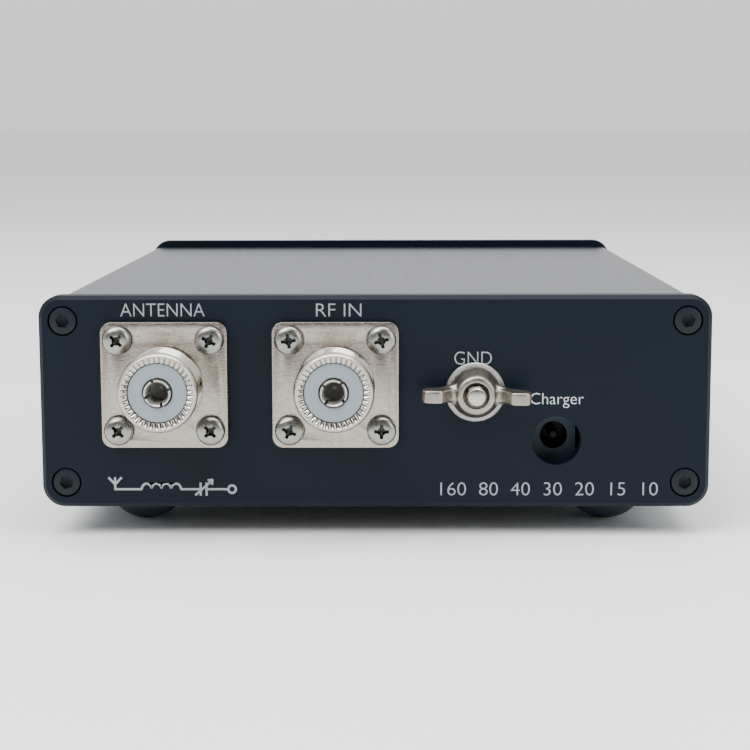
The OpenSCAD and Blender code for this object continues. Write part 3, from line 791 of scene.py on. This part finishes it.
give(
    finish("tinned_brass_stamped", "A8A49A", "C6C2B8", (0.25, 0.4), 2, 0.3, 0.01, Metallic=1.0),
    "ground_lug",
)

# ---------------------------------------------------------- Charger jack
# A moulded power jack soldered to the board behind a round hole in the panel,
# with a turned centre pin and a stamped spring contact.
black_moulding = finish(
    "nylon_moulded_black", "2A3846", "32414F", (0.4, 0.55), 5, 0.2, 0.01, Specular_IOR_Level=0.25
)
give(black_moulding, "charger_jack_housing")
# The pin and the spring contact stand deep in the jack; their near-black nickel is painted shade.
give(
    finish(
        "nickel_plated_brass_painted_deep_shade", "17191B", "232527", (0.35, 0.5), 0.8, 0.2, 0.01, Metallic=1.0,
    ),
    "charger_jack_pin",
    "charger_jack_contact",
)

# ------------------------------------------------------------- Lettering
# Grey epoxy ink, screen printed on the anodised panels and baked: it names
# what each connector and button is for. A small circuit drawing stands in the
# lower left and a row of band numbers in the lower right.
ink = finish("screen_ink_grey", "858B90", "9BA1A5", (0.5, 0.62), 2.5, 0.12, 0.004)
bright_ink = finish("screen_ink_light_grey", "B9BEC2", "CCD0D3", (0.5, 0.62), 2.5, 0.12, 0.004)
ink_film = 0.02


def letter(name, words, panel, left, right, bottom, top, material, thin=0.012):
    """Prints words on a panel so that they fill a box given in mm, in strokes thinned by thin."""
    bpy.ops.object.select_all(action="DESELECT")
    bpy.ops.object.text_add()
    text = bpy.context.object
    text.name = name
    text.data.body = words
    text.data.resolution_u = 6
    text.data.extrude = 0.5
    text.data.offset = -thin
    bpy.ops.object.convert(target="MESH")
    text.data.materials.clear()
    bpy.ops.object.mode_set(mode="EDIT")
    bpy.ops.mesh.select_all(action="SELECT")
    bpy.ops.mesh.remove_doubles(threshold=0.0001)
    bpy.ops.mesh.normals_make_consistent(inside=False)
    bpy.ops.object.mode_set(mode="OBJECT")
    xs = [vertex.co.x for vertex in text.data.vertices]
    ys = [vertex.co.y for vertex in text.data.vertices]
    wide = (right - left) / (max(xs) - min(xs))
    tall = (top - bottom) / (max(ys) - min(ys))
    for vertex in text.data.vertices:
        vertex.co = (
            (left + (vertex.co.x - min(xs)) * wide) * MM,
            (bottom + (vertex.co.y - min(ys)) * tall) * MM,
            (ink_film if vertex.co.z > 0 else -ink_film) * MM,
        )
    text.data.name = name
    text.data.materials.append(material)
    put(text, panel, 0, 0)
    install(text, "case", "white_plastic")


letter("word_antenna", "ANTENNA", OUT_OF_CONNECTOR_PANEL, -51.1, -34.14, 45.15, 47.75, ink)
letter("word_rf_in", "RF IN", OUT_OF_CONNECTOR_PANEL, -11.77, -2.67, 45.1, 47.68, ink)
letter("word_gnd", "GND", OUT_OF_CONNECTOR_PANEL, 16.01, 23.54, 35.32, 37.96, ink)
letter(
    "word_charger", "Charger", OUT_OF_CONNECTOR_PANEL, 31.38, 42.12, 26.5, 29.53, bright_ink, 0.013
)
# The amateur bands in metres, as on a dial.
letter(
    "band_numbers", "160  80  40  30  20  15  10",
    OUT_OF_CONNECTOR_PANEL, 13.27, 57.37, 8.5, 11.2, ink,
)
letter("word_tune", "TUNE", OUT_OF_CONTROL_PANEL, 41.2, 50.8, 36.4, 39.0, ink)
letter("word_power", "POWER", OUT_OF_CONTROL_PANEL, -52.6, -39.4, 36.4, 39.0, ink)

stroke_width = 0.44


def stroke(points, name="stroke"):
    """Prints one line of ink through the points, in mm from the drawing's corner."""
    sides = ([], [])
    for i, (x, y) in enumerate(points):
        before = Vector(points[max(i - 1, 0)])
        after = Vector(points[min(i + 1, len(points) - 1)])
        heading = (after - before).normalized()
        across = Vector((-heading.y, heading.x)) * stroke_width / 2
        sides[0].append((x + across.x, y + across.y))
        sides[1].append((x - across.x, y - across.y))
    return drawn_plate(name, sides[0] + sides[1][::-1], -ink_film, ink_film)


# Aerial, coil, variable capacitor and terminal: what a tuner holds.
line_height = 1.45
coil = [(7, line_height)]
for bump_middle in (8, 10, 12, 14):
    coil += [
        (bump_middle - math.cos(t), line_height + 1.15 * math.sin(t))
        for t in [math.radians(angle) for angle in range(12, 169, 12)]
    ]
coil.append((15, line_height))
drawing = stroke([(1.6, line_height), (1.6, 3.9)], "circuit_drawing")
for points in (
    [(0.25, 3.9), (1.6, 2.45)],
    [(1.6, 2.45), (2.95, 3.9)],
    [(1.38, line_height), (7.1, line_height)],
    coil,
    [(14.9, line_height), (19.2, line_height)],
    [(19, 0.1), (19, 2.8)],
    [(20.2, 0.1), (20.2, 2.8)],
    [(20, line_height), (24.6, line_height)],
    [(17.9, 0.2), (21.4, 3.3)],
    [(20.45, 3.3), (21.55, 3.4)],
    [(21.45, 3.45), (21.3, 2.35)],
):
    cut(drawing, stroke(points), "UNION")
ring = turned(
    "terminal",
    [(0.55, -ink_film), (1.0, -ink_film), (1.0, ink_film), (0.55, ink_film), (0.55, -ink_film)],
    40,
)
ring.data.transform(Matrix.Translation((25.4 * MM, line_height * MM, 0)))
cut(drawing, ring, "UNION")
drawing.data.materials.clear()
drawing.data.materials.append(ink)
put(drawing, OUT_OF_CONNECTOR_PANEL, -54.5 * MM, 8.35 * MM)
install(drawing, "case", "white_plastic")

# --------------------------------------------------------- Control panel
# Two push buttons with moulded caps over spring-loaded switches, and five
# status lamps with water-clear epoxy domes, on a board behind the panel.
give(black_moulding, "tune_switch_body", "power_switch_body", "front_board_header")
give(
    finish("abs_moulded_satin", "15171A", "202327", (0.34, 0.44), 4, 0.18, 0.008),
    "tune_button_cap",
    "power_button_cap",
)
give(
    finish("acetal_moulded_white", "C9C7BF", "DAD8D1", (0.4, 0.5), 3, 0.3, 0.01),
    "tune_plunger",
    "power_plunger",
)
spring_steel = finish(
    "spring_steel_drawn_wire", "84868A", "A4A6A8", (0.2, 0.32), 1, 0.1, 0.006, Metallic=1.0
)
give(spring_steel, "battery_springs")
# Each switch's return spring is coiled from round wire. On the switch it closes up as the plunger's
# shoulder comes down on it; this coil is fixed to the case at its rest length.
wire_radius = 0.27
spring_turns = 5
for button in ("tune", "power"):
    low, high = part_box(f"{button}_spring")
    coil_radius = (high.x - low.x) / 2 / MM - wire_radius
    spring_length = (high.y - low.y) / MM
    bpy.ops.object.select_all(action="DESELECT")
    bpy.ops.mesh.primitive_circle_add(
        vertices=12,
        radius=wire_radius * MM,
        location=(coil_radius * MM, 0, wire_radius * MM),
        rotation=(math.radians(90), 0, 0),
    )
    bpy.ops.object.transform_apply(location=True, rotation=True, scale=True)
    spring = bpy.context.object
    spring.name = spring.data.name = f"{button}_spring_piece"
    apply_modifier(
        spring,
        "SCREW",
        axis="Z",
        iterations=spring_turns,
        screw_offset=(spring_length - 2 * wire_radius) / spring_turns * MM,
        steps=28,
        render_steps=28,
    )
    bpy.ops.object.mode_set(mode="EDIT")
    bpy.ops.mesh.select_all(action="SELECT")
    bpy.ops.mesh.remove_doubles(threshold=0.001 * MM)
    bpy.ops.mesh.select_all(action="DESELECT")
    bpy.ops.mesh.select_non_manifold()
    bpy.ops.mesh.edge_face_add()
    bpy.ops.mesh.select_all(action="SELECT")
    bpy.ops.mesh.normals_make_consistent(inside=False)
    bpy.ops.object.mode_set(mode="OBJECT")
    spring.data.transform(
        Matrix.Translation(((low.x + high.x) / 2, low.y, (low.z + high.z) / 2))
        @ Matrix.Rotation(math.radians(-90), 4, "X")
    )
    spring.data.materials.clear()
    spring.data.materials.append(spring_steel)
    install(spring, "case", "zinc_steel", f"{button}_spring")
    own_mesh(spring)
give(
    finish("nylon_moulded_spacer", "101112", "1A1B1D", (0.45, 0.6), 3, 0.25, 0.01),
    "led_spacers",
)
give(
    finish("tinned_steel_leads", "A2A3A1", "BCBDBA", (0.28, 0.42), 1, 0.12, 0.008, Metallic=1.0),
    "led_leads",
)
give(
    finish(
        "epoxy_cast_tinted_green", "6FA37A", "8CBB95", (0.06, 0.12), 2, 0.5, 0.004,
        Transmission_Weight=0.55, IOR=1.52,
    ),
    "status_leds",
)

# ---------------------------------------------------------------- Boards
# Glass-epoxy laminate under a green solder mask. The weave shows through
# the mask as a faint grid of raised threads, about half a millimetre apart.
laminate = finish(
    "glass_epoxy_board_solder_mask", "0C3B22", "14502F", (0.22, 0.34), 6, 0.5, 0.012,
    stretch=(1, 0.5, 1), Coat_Weight=0.3, Coat_Roughness=0.15,
)
give(laminate, "main_board", "front_board")

# ------------------------------------------------- Relays on the board
# Sixteen sealed relays that switch coils and capacitors in and out, in
# moulded polyester cases.
give(
    finish("polyester_moulded_relay", "1C2630", "26323E", (0.32, 0.42), 4, 0.2, 0.008),
    "relays",
)

# ----------------------------------------------- Coils and transformers
# Ring cores of pressed iron powder, painted, and one of sintered ferrite,
# wound by hand with enamelled copper wire, and self-supporting air coils.
give(
    finish("iron_powder_pressed_painted", "8E1F1A", "A62A22", (0.42, 0.58), 3, 0.35, 0.03),
    "inductor_cores",
)
give(
    finish("ferrite_sintered", "25272A", "34373A", (0.5, 0.65), 2, 0.2, 0.02),
    "bridge_core",
)
enamelled_copper = finish(
    "copper_wire_enamelled", "8F4A22", "B5642F", (0.18, 0.3), 3, 0.3, 0.006,
    Metallic=1.0, Coat_Weight=0.6, Coat_Roughness=0.1,
)
give(enamelled_copper, "inductor_windings", "air_coils", "bridge_winding")
give(
    finish("copper_wire_tinned", "A9A59C", "C4BFB4", (0.25, 0.4), 2, 0.2, 0.01, Metallic=1.0),
    "ground_wire",
    "antenna_lead",
    "rf_in_lead",
)

# ------------------------------------------- Capacitors, chips, crystal
# Dipped radio-frequency capacitors, three electrolytic cans in shrunk
# sleeves, a moulded controller chip and regulator, and a sealed crystal.
give(
    finish("phenolic_dipped", "7A4A1C", "94602B", (0.3, 0.48), 1.5, 0.4, 0.03),
    "rf_capacitors",
)
give(
    finish("pvc_sleeve_shrunk", "11151C", "1A2029", (0.25, 0.36), 4, 0.4, 0.008),
    "electrolytic_capacitors",
)
give(
    finish("epoxy_moulded_chip", "131415", "1E1F21", (0.5, 0.66), 3, 0.15, 0.012),
    "microcontroller",
    "voltage_regulator",
)
give(
    finish(
        "nickel_plated_can_drawn", "9C9D9B", "BDBEBB", (0.22, 0.34), 2, 0.15, 0.006, Metallic=1.0,
    ),
    "crystal",
)

# --------------------------------------------------------------- Battery
# Two lithium cells in heat-shrunk film, in a moulded tray with coil springs
# at the ends and insulated leads to the board.
give(
    finish("polypropylene_moulded_tray", "141517", "1E2022", (0.42, 0.56), 6, 0.25, 0.012),
    "battery_holder",
)
give(
    finish("pvc_film_shrunk_blue", "1D4E86", "2A64A3", (0.22, 0.34), 8, 0.5, 0.008),
    "battery_cells",
)
give(
    finish("pvc_insulation_red", "8E1212", "A81C1A", (0.35, 0.48), 3, 0.25, 0.008),
    "battery_leads",
)

# ------------------------------------------------------------- End
bpy.context.view_layer.update()
